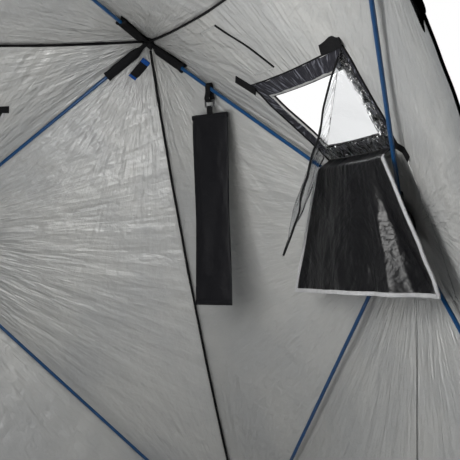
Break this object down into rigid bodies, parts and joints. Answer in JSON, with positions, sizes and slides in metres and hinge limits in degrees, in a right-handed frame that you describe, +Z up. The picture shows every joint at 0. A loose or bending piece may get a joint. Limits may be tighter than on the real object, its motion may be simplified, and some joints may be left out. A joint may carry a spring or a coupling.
{
  "type": "pop-up ice fishing hut",
  "caption": "Square pop-up ice fishing hut: cloth walls and roof pushed out by hubs and rods, with windows, a zipped door and a snow skirt.",
  "frame": {"origin": "on the ice, under the middle of the hut", "axes": "+Z up, +X out through the wall with the open window, +Y out through the back wall, the door in the -Y wall"},
  "size_m": [2.7206, 2.7206, 2.0563],
  "materials": {
    "shell_cloth": "matte",
    "lining_cloth": "satin",
    "black_cloth": "satin",
    "black_webbing": "matte",
    "black_loop": "matte",
    "clear_vinyl": "gloss",
    "blue_rod": "gloss",
    "black_plastic": "satin",
    "buckle_metal": "satin"
  },
  "bodies": {
    "root": {"right_wall": "shell_cloth", "right_rods": "blue_rod", "right_hub": "black_plastic", "right_window_border": "black_loop", "right_window_pane": "clear_vinyl", "right_window_flap": "black_cloth", "back_wall": "shell_cloth", "back_rods": "blue_rod", "back_hub": "black_plastic", "back_window_border": "black_loop", "back_window_pane": "clear_vinyl", "back_window_flap": "black_cloth", "left_wall": "shell_cloth", "left_rods": "blue_rod", "left_hub": "black_plastic", "left_window_border": "black_loop", "left_window_pane": "clear_vinyl", "left_window_flap": "black_cloth", "front_wall": "shell_cloth", "front_rods": "blue_rod", "front_hub": "black_plastic", "front_window_border": "black_loop", "front_window_pane": "clear_vinyl", "front_window_flap": "black_cloth", "roof": "shell_cloth", "roof_rods": "blue_rod", "roof_hub": "black_plastic", "hub_patches": "black_cloth", "pull_loops": "black_webbing", "upper_pockets": "black_webbing", "lower_pockets": "black_webbing", "corner_bindings": "black_webbing", "roof_bindings": "black_webbing", "snow_skirt": "black_cloth", "vent_cover": "lining_cloth", "door_flap": "shell_cloth", "door_zip": "black_webbing", "sleeve_band": "black_webbing", "sleeve_buckle": "buckle_metal", "hanging_sleeve": "black_cloth", "gear_strap": "black_webbing"}
  },
  "joints": []
}
